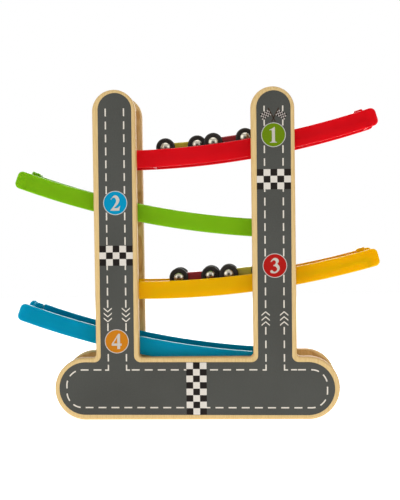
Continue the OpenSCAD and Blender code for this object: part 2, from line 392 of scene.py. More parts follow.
# %% Plywood
PLIES = 7
GLUE_SHARE = 0.06
PLY_WAVER = 0.15
PLY_WAVER_MM = 40
VENEER_STREAK_MM = (0.7, 0.5, 14)
VENEER_SHARE = 0.8
VENEER_RELIEF_MM = 0.05
panel_low, panel_high = node_box("front_panel")
panel_t = panel_high.y - panel_low.y
PLY_MM = panel_t / PLIES


def lacquered_plywood():
    """Birch plywood under satin lacquer: pale and even, with darker plies where an edge is cut."""
    material, tree, place = start_material("lacquered_birch_plywood")
    # The depth below the outer face picks the ply, so that thin lines run along every rounded edge
    across = add(tree, "SeparateXYZ", {"Vector": place}).outputs["Y"]
    away = add(tree, "Math", {0: across}, operation="ABSOLUTE")
    below = add(tree, "Math", {0: -panel_low.y, 1: away}, operation="SUBTRACT")
    waver = add(tree, "TexNoise", {"Vector": place, "Scale": 1 / PLY_WAVER_MM})
    stretch = add(tree, "MapRange", {"Value": waver, "To Min": 1 - PLY_WAVER, "To Max": 1 + PLY_WAVER})
    deep = add(tree, "Math", {0: below, 1: stretch}, operation="MULTIPLY")
    pairs = add(tree, "Math", {0: deep, 1: 1 / (2 * PLY_MM)}, operation="MULTIPLY")
    layer = add(tree, "Math", {0: pairs}, operation="FRACT")
    plies = add(tree, "ValToRGB", {"Fac": layer}, stops=[
        (0.0, "#dcc08a"), (0.5 - GLUE_SHARE, "#d6b77e"), (0.5, "#b98d52"), (0.5 + GLUE_SHARE, "#cda568"),
        (1.0 - GLUE_SHARE, "#d0a96c"), (1.0, "#ba8f54"),
    ])
    # Streaks up the face give the veneer its grain, and break the gloss a little
    tall = add(tree, "Mapping", {"Vector": place, "Scale": [1 / size for size in VENEER_STREAK_MM]})
    streaks = add(tree, "TexNoise", {"Vector": tall, "Scale": 1.0, "Detail": 3.0})
    figure = add(
        tree, "ValToRGB", {"Fac": streaks},
        stops=[(0.3, "#eadfc9"), (0.55, "#fffaf0"), (0.75, "#ffffff")],
    )
    colour = add(
        tree, "MixRGB", {"Fac": VENEER_SHARE, "Color1": plies, "Color2": figure}, blend_type="MULTIPLY",
    )
    gloss = add(tree, "MapRange", {"Value": streaks, "To Min": 0.42, "To Max": 0.58})
    relief = add(
        tree, "Bump", {"Height": streaks, "Strength": 0.15, "Distance": VENEER_RELIEF_MM * MM},
    )
    close_material(tree, {
        "Base Color": colour, "Roughness": gloss, "Specular IOR Level": 0.25, "Normal": relief,
    })
    return material


plywood = lacquered_plywood()
print(PLIES, "plies of", round(PLY_MM, 2), "mm")

# %% Panel outline
base_l = panel_high.x - panel_low.x
panel_h = panel_high.z
BASE_H = 50
UPRIGHT_X = 63
UPRIGHT_W = 34.6
INSIDE_R = 3
ROUTER_R = 2.0
ROUTER_SEGMENTS = 6


def panel_face(margin, top_margin, corner_r):
    """The panel's outline, drawn inside its edge by a margin and filled."""
    bm = bmesh.new()
    end_x = (base_l - BASE_H) / 2
    half_w = UPRIGHT_W / 2 - margin
    shoulder_z = BASE_H - margin
    crown_z = panel_h - top_margin - half_w
    outer_x = UPRIGHT_X + half_w + corner_r
    inner_x = UPRIGHT_X - half_w - corner_r
    pen = bm.verts.new((0, 0, margin))
    pen = line_to(bm, pen, end_x, margin)
    pen = arc_about(bm, pen, end_x, BASE_H / 2, 180)
    pen = line_to(bm, pen, outer_x, shoulder_z)
    pen = arc_about(bm, pen, outer_x, shoulder_z + corner_r, -90)
    pen = line_to(bm, pen, UPRIGHT_X + half_w, crown_z)
    pen = arc_about(bm, pen, UPRIGHT_X, crown_z, 180)
    pen = line_to(bm, pen, UPRIGHT_X - half_w, shoulder_z + corner_r)
    pen = arc_about(bm, pen, inner_x, shoulder_z + corner_r, -90)
    line_to(bm, pen, 0, shoulder_z)
    bmesh.ops.mirror(bm, geom=bm.verts[:] + bm.edges[:], axis="X", merge_dist=MERGE_MM)
    fill_outline(bm)
    return bm


print("panel, mm:", round(base_l, 1), "by", round(panel_h, 1), "by", round(panel_t, 1))

# %% Front and rear panel
for side in ("front", "rear"):
    board = panel_face(0, 0, INSIDE_R)
    thicken(board, panel_t)
    round_edges(board, rim_edges(board), ROUTER_R, segments=ROUTER_SEGMENTS)
    front_y = node_box(f"{side}_panel")[0].y
    bmesh.ops.translate(board, verts=board.verts, vec=(0, front_y, 0))
    make_piece(f"{side}_plywood_panel", board, plywood, "track", f"{side}_panel")

# %% [markdown]
# The road sheet and its inks
#
# A grey printed sheet lies on the face of each panel, with a strip of bare wood left round it. It sits a
# quarter of a degree askew, so all of the print is drawn straight and turned at the end. The markings could
# be painted into the sheet's material, but a crisp dash or digit is better as a thin film of ink that
# stands on the sheet by a few hundredths of a millimetre: it then keeps its edge at any distance. Each ink
# is a film of its own, and the films that lie on others are thicker, so that none hides another.

# %% Inks
INK_FLECK_MM = 0.8
INK_DRIFT_MM = 60
INK_SHEEN = 0.06


def printed_ink(name, light, dark):
    """Matt screen ink: nearly even, with a faint mottle from the mesh and the paper under it."""
    material, tree, place = start_material(name)
    # Flecks of a fraction of a millimetre keep a large field from looking like flat paint
    flecks = add(tree, "TexNoise", {"Vector": place, "Scale": 1 / INK_FLECK_MM, "Detail": 5.0})
    drift = add(tree, "TexNoise", {"Vector": place, "Scale": 1 / INK_DRIFT_MM})
    amount = add(tree, "MixRGB", {"Fac": 0.5, "Color1": flecks, "Color2": drift})
    colour = add(tree, "ValToRGB", {"Fac": amount}, stops=[(0.3, dark), (0.7, light)])
    gloss = add(tree, "MapRange", {"Value": flecks, "To Min": 0.45, "To Max": 0.6})
    close_material(tree, {"Base Color": colour, "Roughness": gloss, "Specular IOR Level": INK_SHEEN})
    return material


road_ink = printed_ink("asphalt_grey_ink", "#535450", "#474743")
line_ink = printed_ink("line_white_ink", "#e2dbcf", "#cfc7bb")
chequer_white_ink = printed_ink("chequer_white_ink", "#dfd9d0", "#cec7bd")
chequer_black_ink = printed_ink("chequer_black_ink", "#2a2523", "#1d1917")
ring_ink = printed_ink("ring_white_ink", "#cbc8c2", "#b7b4ae")
digit_ink = printed_ink("digit_white_ink", "#c8c2b8", "#b7b1a7")
flag_black_ink = printed_ink("flag_black_ink", "#120c0b", "#0b0706")
flag_white_ink = printed_ink("flag_white_ink", "#b3aaa4", "#a19892")
pole_ink = printed_ink("flag_pole_brown_ink", "#4a3a30", "#33271f")
DISC_INKS = {
    "1": printed_ink("disc_green_ink", "#6e8b12", "#5e7908"),
    "2": printed_ink("disc_blue_ink", "#0090ba", "#0082aa"),
    "3": printed_ink("disc_red_ink", "#b01a15", "#9c130f"),
    "4": printed_ink("disc_orange_ink", "#c87d1c", "#b86f10"),
}
print("disc inks:", list(DISC_INKS))

# %% Road sheet
PRINT_MARGIN = 3.85
PRINT_TOP_MARGIN = 3.1
PRINT_INSIDE_R = 5.3
PRINT_TURN_DEG = 0.25
SHEET_T = 0.10
sheet_back_y = node_box("front_road_print")[1].y
sheet_front_y = sheet_back_y - SHEET_T
SIDES = {"front": 0, "rear": 180}


def print_film(name, film, height, material, replaces=None, ground_y=sheet_front_y):
    """Lays flat marks on both panels as a film of this height. The rear one is the front one turned."""
    thicken(film, height)
    bmesh.ops.translate(film, verts=film.verts, vec=(0, ground_y - height, 0))
    askew = Matrix.Rotation(math.radians(PRINT_TURN_DEG), 3, "Y")
    bmesh.ops.rotate(film, verts=film.verts, cent=(0, 0, BASE_H), matrix=askew)
    for side, turn in SIDES.items():
        copy = film.copy()
        about = Matrix.Rotation(math.radians(turn), 3, "Z")
        bmesh.ops.rotate(copy, verts=copy.verts, cent=(0, 0, 0), matrix=about)
        make_piece(f"{side}_{name}", copy, material, "track", replaces and f"{side}_{replaces}")
    film.free()


road_sheet = panel_face(PRINT_MARGIN, PRINT_TOP_MARGIN, PRINT_INSIDE_R)
print_film("road_sheet", road_sheet, SHEET_T, road_ink, "road_print", sheet_back_y)

# %% [markdown]
# Road lines
#
# The white lines are short dashes, two columns up each upright and one line round the base. A dash is a
# grid of a single cell, stretched to its length. Round the corners of the base a dash is an edge that is
# spun. The dashes repeat at a steady pitch, so each run is written as its start, its number and its pitch.

# %% Dashes up the uprights
DASH_FILM = 0.04
DASH_W = 1.05
DASH_L = 6.2
COLUMN_OFFSET = 7.3
STAND_UP = Matrix.Rotation(math.radians(90), 4, "X")


def upright_place(x, z, lean_deg=0):
    """The matrix that stands a flat shape up in front of the sheet, at a place and leaning."""
    lean = Matrix.Rotation(math.radians(lean_deg), 4, (0, -1, 0))
    return Matrix.Translation((x, 0, z)) @ lean @ STAND_UP


def bar(bm, x, z, width, height, lean_deg=0):
    """A filled rectangle about a place."""
    stretch = Matrix.Diagonal((width, height, 1, 1))
    place = upright_place(x, z, lean_deg) @ stretch
    bmesh.ops.create_grid(bm, x_segments=1, y_segments=1, size=UNIT_HALF, matrix=place)


# A run of dashes is the top of its first dash, the number of dashes, their pitch and their length
LEFT_RUNS = [
    (248.6, 7, 10.27, DASH_L), (166.0, 3, 9.8, DASH_L), (123.6, 1, 0, 3.5), (115.7, 3, 9.75, DASH_L),
    (77.5, 1, 0, DASH_L), (52.9, 1, 0, 6.0),
]
RIGHT_RUNS = [
    (248.8, 1, 0, 4.4), (237.8, 1, 0, 4.7), (217.6, 2, 10.05, 6.0), (183.1, 1, 0, 2.1),
    (176.5, 5, 10.05, DASH_L), (115.5, 3, 10.05, DASH_L), (74.1, 3, 10.8, 6.0),
]
lines = bmesh.new()
for upright_x, runs in ((-UPRIGHT_X, LEFT_RUNS), (UPRIGHT_X, RIGHT_RUNS)):
    for column in (-COLUMN_OFFSET, COLUMN_OFFSET):
        for top, count, pitch, length in runs:
            for turn in range(count):
                bar(lines, upright_x + column, top - turn * pitch - length / 2, DASH_W, length)
print("dashes up the uprights:", len(lines.faces))

# %% Dashes round the base
LINE_HALF_L = 104.1
LINE_LOW_Z = 9.75
LINE_TOP_Z = 40.05
LINE_R = 12.5
BASE_DASH_L = 6.3
BASE_PITCH = 10.44
FIRST_DASH = 76
BASE_DASHES = 29
MIDDLE_START_X = -51.5
MIDDLE_DASHES = 10
LAST_DASH_X = 77.85
LAST_DASH_L = 4.7
FOOT_TOP = 44.2
FOOT_LOW = 39.4
FOOT_STUB = 2.2


def turn_bar(bm, centre, from_deg, degrees):
    """A dash round a corner: an edge across the line, spun about the corner's centre."""
    out = Vector((math.cos(math.radians(from_deg)), math.sin(math.radians(from_deg))))
    near = centre + out * (LINE_R - DASH_W / 2)
    far = centre + out * (LINE_R + DASH_W / 2)
    pen = bm.verts.new((near.x, 0, near.y))
    tip = line_to(bm, pen, far.x, far.y)
    bmesh.ops.spin(
        bm, geom=[pen, tip, pen.link_edges[0]], cent=(centre.x, 0, centre.y), axis=(0, -1, 0),
        angle=math.radians(degrees), steps=max(1, round(degrees / ARC_STEP_DEG)),
    )


def base_dash(bm, start, end):
    """One dash of the line round the base, between two lengths along it from its top middle leftwards."""
    long_side = LINE_HALF_L - LINE_R
    short_side = LINE_TOP_Z - LINE_LOW_Z - 2 * LINE_R
    corner_l = LINE_R * math.pi / 2
    pen = Vector((0, LINE_TOP_Z))
    heading = 180
    gone = 0
    for straight in (long_side, short_side, 2 * long_side, short_side, long_side):
        along = Vector((math.cos(math.radians(heading)), math.sin(math.radians(heading))))
        low, high = max(start, gone), min(end, gone + straight)
        if low < high:
            middle = pen + along * ((low + high) / 2 - gone)
            bar(bm, middle.x, middle.y, high - low, DASH_W, heading)
        gone += straight
        centre = pen + along * straight + Vector((-along.y, along.x)) * LINE_R
        low, high = max(start, gone), min(end, gone + corner_l)
        if low < high:
            turned = math.degrees((low - gone) / LINE_R)
            turn_bar(bm, centre, heading - 90 + turned, math.degrees((high - low) / LINE_R))
        gone += corner_l
        heading += 90
        pen = centre + along * LINE_R


for turn in range(BASE_DASHES):
    dash_start = FIRST_DASH + turn * BASE_PITCH
    base_dash(lines, dash_start, dash_start + BASE_DASH_L)
for turn in range(MIDDLE_DASHES):
    middle_x = MIDDLE_START_X + turn * BASE_PITCH + BASE_DASH_L / 2
    bar(lines, middle_x, LINE_TOP_Z, BASE_DASH_L, DASH_W)
bar(lines, LAST_DASH_X, LINE_TOP_Z, LAST_DASH_L, DASH_W)
for upright_x in (-UPRIGHT_X, UPRIGHT_X):
    for away in (-1, 1):
        foot_x = upright_x + away * COLUMN_OFFSET
        stub_x = foot_x + away * (DASH_W + FOOT_STUB) / 2
        bar(lines, foot_x, (FOOT_TOP + FOOT_LOW) / 2, DASH_W, FOOT_TOP - FOOT_LOW)
        bar(lines, stub_x, FOOT_LOW + DASH_W / 2, FOOT_STUB, DASH_W)
print("faces of all dashes so far:", len(lines.faces))

# %% Chevrons
CHEVRON_W = 6.5
CHEVRON_RISE = 2.75
CHEVRON_STROKE = 1.05
CHEVRON_PITCH = 3.97
CHEVRONS = 3
DOWN_CHEVRON_TIP = 78.3
UP_CHEVRON_TIP = 86.7


def chevron(bm, x, tip_z, way):
    """An arrow stroke with its tip at a place, pointing down or up."""
    shape = bmesh.new()
    half = CHEVRON_W / 2
    pen = shape.verts.new((x, 0, tip_z))
    for out, rise in ((half, CHEVRON_RISE), (half, CHEVRON_RISE + CHEVRON_STROKE), (0, CHEVRON_STROKE),
                      (-half, CHEVRON_RISE + CHEVRON_STROKE), (-half, CHEVRON_RISE), (0, 0)):
        pen = line_to(shape, pen, x + out, tip_z - way * rise)
    fill_outline(shape)
    take_in(bm, shape)


for column in (-COLUMN_OFFSET, COLUMN_OFFSET):
    for turn in range(CHEVRONS):
        chevron(lines, column - UPRIGHT_X, DOWN_CHEVRON_TIP + turn * CHEVRON_PITCH, -1)
        chevron(lines, column + UPRIGHT_X, UP_CHEVRON_TIP - turn * CHEVRON_PITCH, 1)
print_film("road_lines", lines, DASH_FILM, line_ink)

# %% [markdown]
# Chequers and flags
#
# Three chequered bands cross the road, and two small crossed flags stand over the first number. A band is
# a black film with white cells on it. The cells are a grid with every other face deleted, which is quicker
# and truer than placing single squares. A flag is the same grid, pulled to a slant by its matrix.

# %% Chequered bands
BLACK_FILM = 0.055
WHITE_FILM = 0.075
BAND_W = UPRIGHT_W - 2 * PRINT_MARGIN
BAND_H = 15.9
LEFT_BAND_Z = 131.57
RIGHT_BAND_Z = 191.03
COLUMN_X = 0.28
COLUMN_Z = 25.0
COLUMN_W = 16.15
COLUMN_H = 41.8
# Columns and rows of cells. A cell's column and row, counted from 0, add up to its turn, even or odd
BAND_CELLS = (5, 3)
COLUMN_CELLS = (3, 8)
EVEN_WHITE = 0
ODD_WHITE = 1


def chequer(black, white, place, cell_counts, white_turn):
    """A black field and the white cells on it. The matrix stretches a unit square to the field."""
    columns, rows = cell_counts
    bmesh.ops.create_grid(black, x_segments=1, y_segments=1, size=UNIT_HALF, matrix=place)
    cells = bmesh.ops.create_grid(
        white, x_segments=columns, y_segments=rows, size=UNIT_HALF, matrix=place,
    )
    to_unit = place.inverted()
    taken = []
    for face in {face for vert in cells["verts"] for face in vert.link_faces}:
        spot = to_unit @ face.calc_center_median()
        column = math.floor((spot.x + UNIT_HALF) * columns)
        row = math.floor((spot.y + UNIT_HALF) * rows)
        if (column + row) % 2 != white_turn:
            taken.append(face)
    bmesh.ops.delete(white, geom=taken, context="FACES")


def field(x, z, width, height):
    """The matrix that stretches a unit square to an upright field."""
    return upright_place(x, z) @ Matrix.Diagonal((width, height, 1, 1))


black_field = bmesh.new()
white_cells = bmesh.new()
for place, cell_counts in (
    (field(-UPRIGHT_X, LEFT_BAND_Z, BAND_W, BAND_H), BAND_CELLS),
    (field(UPRIGHT_X, RIGHT_BAND_Z, BAND_W, BAND_H), BAND_CELLS),
    (field(COLUMN_X, COLUMN_Z, COLUMN_W, COLUMN_H), COLUMN_CELLS),
):
    chequer(black_field, white_cells, place, cell_counts, ODD_WHITE)
print("white cells:", len(white_cells.faces))

# %% Crossed flags
FLAG_HOIST = Vector((-1.8, 4.6))
FLAG_FLY = Vector((-7.2, -4.1))
FLAG_FOOT = Vector((-1.5, 241.6))
POLE_TOP = Vector((-4.1, 247.1))
POLE_FOOT = Vector((1.5, 236.2))
POLE_W = 0.8
POLE_FILM = 0.085
FLAG_CELLS = (7, 4)
flag_black = bmesh.new()
flag_white = bmesh.new()
flag_poles = bmesh.new()
for way in (1, -1):
    corner = FLAG_FOOT + FLAG_FLY / 2 + FLAG_HOIST / 2
    slant = Matrix((
        (way * FLAG_FLY.x, way * FLAG_HOIST.x, 0, UPRIGHT_X + way * corner.x),
        (0, 0, 1, 0),
        (FLAG_FLY.y, FLAG_HOIST.y, 0, corner.y),
        (0, 0, 0, 1),
    ))
    chequer(flag_black, flag_white, slant, FLAG_CELLS, EVEN_WHITE)
    pole = POLE_TOP - POLE_FOOT
    pole_x = UPRIGHT_X + way * (POLE_TOP.x + POLE_FOOT.x) / 2
    lean = math.degrees(math.atan2(pole.y, way * pole.x))
    bar(flag_poles, pole_x, (POLE_TOP.y + POLE_FOOT.y) / 2, pole.length, POLE_W, lean)
print_film("chequer_black", black_field, BLACK_FILM, chequer_black_ink)
print_film("chequer_white", white_cells, WHITE_FILM, chequer_white_ink)
print_film("flag_black", flag_black, BLACK_FILM, flag_black_ink)
print_film("flag_white", flag_white, WHITE_FILM, flag_white_ink)
print_film("flag_poles", flag_poles, POLE_FILM, pole_ink)

# %% [markdown]
# Numbered discs
#
# Four coloured discs with a pale ring number the ramps. Each is a capped circle on a larger one. The digits
# have thick and thin strokes and round terminals, which no plain operator draws, so they are flat
# Bezier outlines: a few listed points, either corners or smooth. The curve is filled, made a mesh
# and laid on its disc.

# %% Rings and discs
RING_FILM = 0.08
DISC_FILM = 0.11
DIGIT_FILM = 0.15
RING_R = 9.65
DISC_R = 9.12
DISC_SEGMENTS = 72
DISCS = {"1": (62.9, 225.9), "2": (-63.2, 173.6), "3": (63.3, 122.8), "4": (-63.3, 63.0)}
rings = bmesh.new()
for digit, (disc_x, disc_z) in DISCS.items():
    place = upright_place(disc_x, disc_z)
    bmesh.ops.create_circle(rings, cap_ends=True, radius=RING_R, segments=DISC_SEGMENTS, matrix=place)
    disc = bmesh.new()
    bmesh.ops.create_circle(disc, cap_ends=True, radius=DISC_R, segments=DISC_SEGMENTS, matrix=place)
    print_film(f"disc_{digit}", disc, DISC_FILM, DISC_INKS[digit])
print_film("disc_rings", rings, RING_FILM, ring_ink)

# %% Digits
DIGIT_H = 12.2
CORNER = "VECTOR"
SMOOTH = "AUTO"
# Outlines in shares of the digit's height, from its foot, with the point's kind
DIGIT_SHARES = {
    "1": [[
        (0.097, 1.0, CORNER), (0.097, 0.17, CORNER), (0.13, 0.06, SMOOTH), (0.225, 0.03, CORNER),
        (0.225, 0.0, CORNER), (-0.24, 0.0, CORNER), (-0.24, 0.03, CORNER), (-0.13, 0.06, SMOOTH),
        (-0.097, 0.17, CORNER), (-0.097, 0.74, CORNER), (-0.14, 0.80, SMOOTH), (-0.26, 0.80, CORNER),
        (-0.27, 0.83, CORNER), (-0.1, 0.90, SMOOTH), (0.05, 1.0, CORNER),
    ]],
    "2": [[
        (-0.31, 0.0, CORNER), (0.26, 0.0, CORNER), (0.32, 0.31, CORNER), (0.26, 0.26, SMOOTH),
        (0.14, 0.17, SMOOTH), (-0.09, 0.17, CORNER), (0.20, 0.48, SMOOTH), (0.27, 0.74, SMOOTH),
        (0.0, 1.0, SMOOTH), (-0.30, 0.73, CORNER), (-0.26, 0.72, CORNER), (-0.12, 0.86, SMOOTH),
        (0.06, 0.68, SMOOTH), (-0.06, 0.36, SMOOTH), (-0.31, 0.04, CORNER),
    ]],
    "3": [[
        (-0.29, 0.74, CORNER), (-0.12, 0.95, SMOOTH), (0.04, 1.0, SMOOTH), (0.255, 0.81, SMOOTH),
        (0.16, 0.62, CORNER), (0.31, 0.37, SMOOTH), (0.20, 0.11, SMOOTH), (-0.08, 0.0, SMOOTH),
        (-0.30, 0.10, SMOOTH), (-0.23, 0.205, SMOOTH), (-0.04, 0.10, SMOOTH), (0.14, 0.23, SMOOTH),
        (0.06, 0.42, SMOOTH), (-0.12, 0.49, CORNER), (0.065, 0.70, SMOOTH), (-0.07, 0.855, SMOOTH),
        (-0.20, 0.77, SMOOTH),
    ]],
    "4": [
        [
            (0.10, 1.0, CORNER), (0.215, 1.0, CORNER), (0.215, 0.36, CORNER), (0.315, 0.36, CORNER),
            (0.315, 0.215, CORNER), (0.215, 0.215, CORNER), (0.215, 0.0, CORNER), (0.03, 0.0, CORNER),
            (0.03, 0.215, CORNER), (-0.335, 0.215, CORNER), (-0.335, 0.33, CORNER),
        ],
        [(0.03, 0.36, CORNER), (0.03, 0.78, CORNER), (-0.22, 0.36, CORNER)],
    ],
}


def digit_shape(digit):
    """A digit as a flat mesh of height 1, drawn as Bezier outlines and filled."""
    curve = bpy.data.curves.new("digit", "CURVE")
    curve.dimensions = "2D"
    curve.fill_mode = "FRONT"
    for outline in DIGIT_SHARES[digit]:
        spline = curve.splines.new("BEZIER")
        spline.bezier_points.add(len(outline) - 1)
        spline.use_cyclic_u = True
        for knot, (x, z, kind) in zip(spline.bezier_points, outline):
            knot.co = (x, z, 0)
            knot.handle_left_type = kind
            knot.handle_right_type = kind
    drawn = bpy.data.objects.new("digit", curve)
    scene.collection.objects.link(drawn)
    filled = bpy.data.meshes.new_from_object(drawn.evaluated_get(bpy.context.evaluated_depsgraph_get()))
    bm = bmesh.new()
    bm.from_mesh(filled)
    bpy.data.objects.remove(drawn)
    bpy.data.curves.remove(curve)
    bpy.data.meshes.remove(filled)
    return bm


digits = bmesh.new()
for digit, (disc_x, disc_z) in DISCS.items():
    shape = digit_shape(digit)
    place = upright_place(disc_x, disc_z - DIGIT_H / 2) @ Matrix.Diagonal((DIGIT_H, DIGIT_H, 1, 1))
    bmesh.ops.transform(shape, matrix=place, verts=shape.verts)
    take_in(digits, shape)
print_film("disc_digits", digits, DIGIT_FILM, digit_ink)

# %% [markdown]
# The ramps
#
# A ramp is one glossy moulding: two curved side walls, a floor between them with ribs under it, a stop near
# its outer end and a wall at its low end. Every line of it is an arc about one far centre, so it is drawn
# about that centre and then turned and moved to its place. The two ramps that run the other way are
# mirrored. The walls' edges are rounded as a mould leaves them, and that is where the highlights run. The
# plastic lets some light through, and it is matt below, so the undersides keep their colour.

# %% Moulded plastic
PLASTIC_FLOW_MM = 30
PLASTIC_GLOW_SHARE = 0.8
PLASTIC_GLOW_MM = 5
TOP_SHEEN = 0.3
UNDERSIDE_SHEEN = 0.12
UNDERSIDE_ROUGHNESS = 0.5
# Faces change from matt to polished between these heights of their normal
MATT_NORMAL_Z = -0.4
POLISHED_NORMAL_Z = 0.0


def moulded_plastic(name, light, dark):
    """Glossy moulded ABS: one deep colour, a smooth skin, and thin walls that glow against the light."""
    material, tree, place = start_material(name)
    # A slow drift of shade and gloss over several centimetres is all that a mould leaves on such a face
    flow = add(tree, "TexNoise", {"Vector": place, "Scale": 1 / PLASTIC_FLOW_MM, "Detail": 1.0})
    colour = add(tree, "ValToRGB", {"Fac": flow}, stops=[(0.35, dark), (0.65, light)])
    polished = add(tree, "MapRange", {"Value": flow, "To Min": 0.14, "To Max": 0.2})
    # The lower half of the mould is not polished, so faces that look down are matt
    facing = add(tree, "NewGeometry").outputs["Normal"]
    upward = add(tree, "SeparateXYZ", {"Vector": facing}).outputs["Z"]
    polish = add(
        tree, "MapRange", {"Value": upward, "From Min": MATT_NORMAL_Z, "From Max": POLISHED_NORMAL_Z},
    )
    gloss = add(tree, "MapRange", {"Value": polish, "To Min": UNDERSIDE_ROUGHNESS, "To Max": polished})
    sheen = add(tree, "MapRange", {"Value": polish, "To Min": UNDERSIDE_SHEEN, "To Max": TOP_SHEEN})
    # Light in the plastic's own colour passes through a wall of a few millimetres
    close_material(tree, {
        "Base Color": colour, "Roughness": gloss, "Specular IOR Level": sheen,
        "Subsurface Weight": PLASTIC_GLOW_SHARE, "Subsurface Radius": (1.0, 1.0, 1.0),
        "Subsurface Scale": PLASTIC_GLOW_MM * MM,
    })
    return material


RAMP_PLASTICS = {
    "red": moulded_plastic("glossy_red_abs", "#d6101b", "#d00d18"),
    "green": moulded_plastic("glossy_green_abs", "#7bb114", "#78ad10"),
    "yellow": moulded_plastic("glossy_yellow_abs", "#e4ad00", "#e0a800"),
    "blue": moulded_plastic("glossy_blue_abs", "#008fb0", "#008baa"),
}
print("plastics:", list(RAMP_PLASTICS))

# %% Ramp sizes
RAMP_R = 667.6
RAMP_REACH = 146.6
RAMP_TAIL = 79
RAMP_CLEAR = 0.2
WALL_H = 14.3
WALL_T = 2.4
WALL_END_R = 4.2
CHANNEL_DEPTH = 6.2
FLOOR_T = 2.2
DROP_L = 35
RIB_T = 2
STOP_SETBACK = 7.5
STOP_L = 7.4
STOP_W = 10.4
STOP_RISE = 2.4
LOWEST_LEVEL = 58.1
RAMP_PITCH = 53.5
# A ramp is its place in the stack, its slope in degrees and the side of its low end
RAMPS = {
    "red": (3, 5.0, "left"), "green": (2, 8.3, "right"),
    "yellow": (1, 3.2, "left"), "blue": (0, 8.1, "right"),
}

inner_face_y = -(panel_low.y + panel_t)
ramp_half = inner_face_y - RAMP_CLEAR
channel_half = ramp_half - WALL_T
floor_r = RAMP_R + CHANNEL_DEPTH
foot_r = RAMP_R + WALL_H


def arc_deg(length):
    """The angle of a length along the walls' top edges."""
    return math.degrees(length / RAMP_R)


def polar(radius, degrees):
    """The place at an angle from straight down, about the ramp's centre."""
    return radius * math.sin(math.radians(degrees)), -radius * math.cos(math.radians(degrees))


print("a ramp turns by", round(arc_deg(RAMP_REACH + RAMP_TAIL), 1), "degrees")

# %% Ramp shapes
LONG_STEP_DEG = 0.4
END_STEP_DEG = 10
MOULD_R = 0.6
INNER_MOULD_R = 0.3
STOP_MOULD_R = 1.2


def wall_slab(y):
    """A side wall from y backwards, with rounded ends."""
    bm = bmesh.new()
    high_deg = arc_deg(RAMP_REACH - WALL_END_R)
    low_deg = -arc_deg(RAMP_TAIL - WALL_END_R)
    x, z = polar(foot_r, low_deg)
    pen = bm.verts.new((x, y, z))
    pen = arc_about(bm, pen, 0, 0, high_deg - low_deg, LONG_STEP_DEG)
    for end_deg, way, first_r, last_r in (
        (high_deg, 1, foot_r - WALL_END_R, RAMP_R + WALL_END_R),
        (low_deg, -1, RAMP_R + WALL_END_R, foot_r - WALL_END_R),
    ):
        slope = math.radians(end_deg)
        centre_x, centre_z = polar(last_r, end_deg)
        out_x = centre_x + way * WALL_END_R * math.cos(slope)
        out_z = centre_z + way * WALL_END_R * math.sin(slope)
        pen = arc_about(bm, pen, *polar(first_r, end_deg), 90, END_STEP_DEG)
        pen = line_to(bm, pen, out_x, out_z)
        pen = arc_about(bm, pen, centre_x, centre_z, 90, END_STEP_DEG)
        if way > 0:
            pen = arc_about(bm, pen, 0, 0, low_deg - high_deg, LONG_STEP_DEG)
    fill_outline(bm)
    thicken(bm, WALL_T)
    round_edges(bm, rim_edges(bm), MOULD_R)
    return bm


def sector_slab(inner_r, outer_r, from_deg, to_deg, half_w, mould_r):
    """A stretch of a ring about the ramp's centre, as wide as twice half_w."""
    bm = bmesh.new()
    start_x, start_z = polar(outer_r, from_deg)
    pen = bm.verts.new((start_x, -half_w, start_z))
    pen = arc_about(bm, pen, 0, 0, to_deg - from_deg, LONG_STEP_DEG)
    pen = line_to(bm, pen, *polar(inner_r, to_deg))
    pen = arc_about(bm, pen, 0, 0, from_deg - to_deg, LONG_STEP_DEG)
    line_to(bm, pen, start_x, start_z)
    fill_outline(bm)
    thicken(bm, 2 * half_w)
    sharp = [edge for edge in bm.edges if edge.calc_face_angle(0) > math.radians(SHARP_DEG)]
    round_edges(bm, sharp, mould_r)
    return bm


sample_wall = wall_slab(-ramp_half)
print("a side wall has", len(sample_wall.faces), "faces")
sample_wall.free()

# %% Ramp mouldings
tail_deg = arc_deg(RAMP_TAIL - WALL_END_R)
end_wall_deg = arc_deg(WALL_T) - tail_deg
drop_low_deg = end_wall_deg + arc_deg(WALL_T)
drop_edge_deg = drop_low_deg + arc_deg(DROP_L)
stop_out_deg = arc_deg(RAMP_REACH - STOP_SETBACK)
stop_in_deg = stop_out_deg - arc_deg(STOP_L)
rib_deg = arc_deg(RIB_T)


def ramp_moulding(has_drop):
    """A whole ramp about its centre: walls, floor, ribs, end wall and stop."""
    bm = bmesh.new()
    floor_from_deg = drop_edge_deg if has_drop else drop_low_deg
    for y in (-ramp_half, ramp_half - WALL_T):
        take_in(bm, wall_slab(y))
    across = channel_half + WALL_T / 2
    for shape in (
        (floor_r, floor_r + FLOOR_T, floor_from_deg, stop_out_deg, across, INNER_MOULD_R),
        (floor_r, foot_r - MOULD_R, floor_from_deg, floor_from_deg + rib_deg, across, INNER_MOULD_R),
        (floor_r, foot_r - MOULD_R, stop_out_deg - rib_deg, stop_out_deg, across, INNER_MOULD_R),
        (RAMP_R + MOULD_R, foot_r - MOULD_R, end_wall_deg, drop_low_deg, across, INNER_MOULD_R),
        (RAMP_R - STOP_RISE, floor_r + FLOOR_T / 2, stop_in_deg, stop_out_deg, STOP_W / 2, STOP_MOULD_R),
    ):
        take_in(bm, sector_slab(*shape))
    return bm


